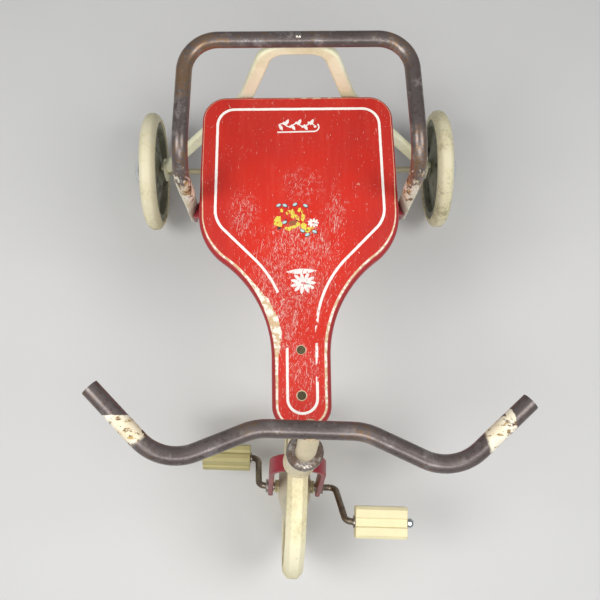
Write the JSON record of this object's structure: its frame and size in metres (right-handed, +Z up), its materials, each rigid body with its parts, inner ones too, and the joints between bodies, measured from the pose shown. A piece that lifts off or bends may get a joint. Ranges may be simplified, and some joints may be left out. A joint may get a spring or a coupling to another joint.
{
  "type": "children's tricycle",
  "caption": "Child's pedal tricycle with a spoon-shaped board seat, a bent rail round its back, a wide bent handlebar and three pressed disc wheels with solid tyres.",
  "frame": {"origin": "on the floor, under the middle of the bounding box", "axes": "+Z up; -Y is the way it is ridden; +X is to the right looking along +Y"},
  "size_m": [0.502, 0.6966, 0.5532],
  "materials": {
    "cream_tyre": "aged cream solid rubber, matt, scuffed on the tread",
    "cream_paint": "worn cream enamel with rust at the edges",
    "red_board": "glossy red paint on plywood with a cream pinstripe, scratched and worn through at the edges",
    "red_paint": "dark red enamel",
    "brown_tube": "brown enamel on steel tube, rubbed bright and rusty",
    "worn_steel": "dull, rust-stained steel",
    "chrome": "bright plated steel, lightly pitted",
    "pedal_rubber": "yellowed cream moulded rubber"
  },
  "bodies": {
    "frame": {"head_tube": "cream_paint", "head_bushes": "worn_steel", "lower_head_cup": "cream_paint", "main_tube": "cream_paint", "axle_sleeve": "cream_paint", "seat_front_plate": "cream_paint", "seat_rear_strap": "cream_paint", "rear_hoop": "cream_paint", "rear_axle": "cream_paint", "axle_washers": "worn_steel", "axle_nuts": "worn_steel", "seat_board": "red_board", "seat_bolts": "worn_steel", "seat_nuts": "worn_steel", "seat_screws": "worn_steel", "seat_rail": "brown_tube", "rail_bracket": "red_paint", "rail_bolts": "worn_steel", "rail_nuts": "worn_steel", "rail_top_bolt": "worn_steel"},
    "steering": {"fork": "red_paint", "fork_bushes": "worn_steel", "crown_bolt": "worn_steel", "crown_race": "red_paint", "stem": "cream_paint", "stem_ring": "worn_steel", "handlebar": "brown_tube"},
    "front_wheel": {"front_tyre": "cream_tyre", "front_wheel_disc_left": "cream_paint", "front_wheel_disc_right": "cream_paint", "front_hub": "cream_paint", "front_hub_pin": "worn_steel", "front_hub_washers": "worn_steel", "crank_axle": "worn_steel", "pedal_washers": "worn_steel", "pedal_nuts": "chrome"},
    "left_pedal": {"pedal_left": "pedal_rubber", "pedal_left_sleeve": "worn_steel"},
    "right_pedal": {"pedal_right": "pedal_rubber", "pedal_right_sleeve": "worn_steel"},
    "left_rear_wheel": {"rear_tyre_left": "cream_tyre", "rear_disc_outer_left": "cream_paint", "rear_disc_inner_left": "cream_paint", "rear_hub_left": "cream_paint", "hub_cap_left": "chrome"},
    "right_rear_wheel": {"rear_tyre_right": "cream_tyre", "rear_disc_outer_right": "cream_paint", "rear_disc_inner_right": "cream_paint", "rear_hub_right": "cream_paint", "hub_cap_right": "chrome"}
  },
  "joints": [
    {"name": "steer", "type": "hinge", "parent": "frame", "child": "steering", "pos_m": [-0.00402, -0.18895, 0.26206], "axis": [0.0313, 0.0698, 0.9971], "range_deg": [-87.5, 92.5]},
    {"name": "front_wheel_spin", "type": "hinge", "parent": "steering", "child": "front_wheel", "pos_m": [-0.0094, -0.22323, 0.12516], "axis": [0.9987, -0.0435, -0.0283], "continuous": true},
    {"name": "left_pedal_spin", "type": "hinge", "parent": "front_wheel", "child": "left_pedal", "pos_m": [-0.00912, -0.1851, 0.07628], "axis": [0.9987, -0.0435, -0.0283], "continuous": true},
    {"name": "right_pedal_spin", "type": "hinge", "parent": "front_wheel", "child": "right_pedal", "pos_m": [-0.0097, -0.26566, 0.17957], "axis": [0.9987, -0.0435, -0.0283], "continuous": true},
    {"name": "left_rear_wheel_spin", "type": "hinge", "parent": "frame", "child": "left_rear_wheel", "pos_m": [-0.22, 0.25825, 0.09], "axis": [1, 0, 0], "continuous": true},
    {"name": "right_rear_wheel_spin", "type": "hinge", "parent": "frame", "child": "right_rear_wheel", "pos_m": [0.22, 0.25825, 0.09], "axis": [1, 0, 0], "continuous": true}
  ]
}
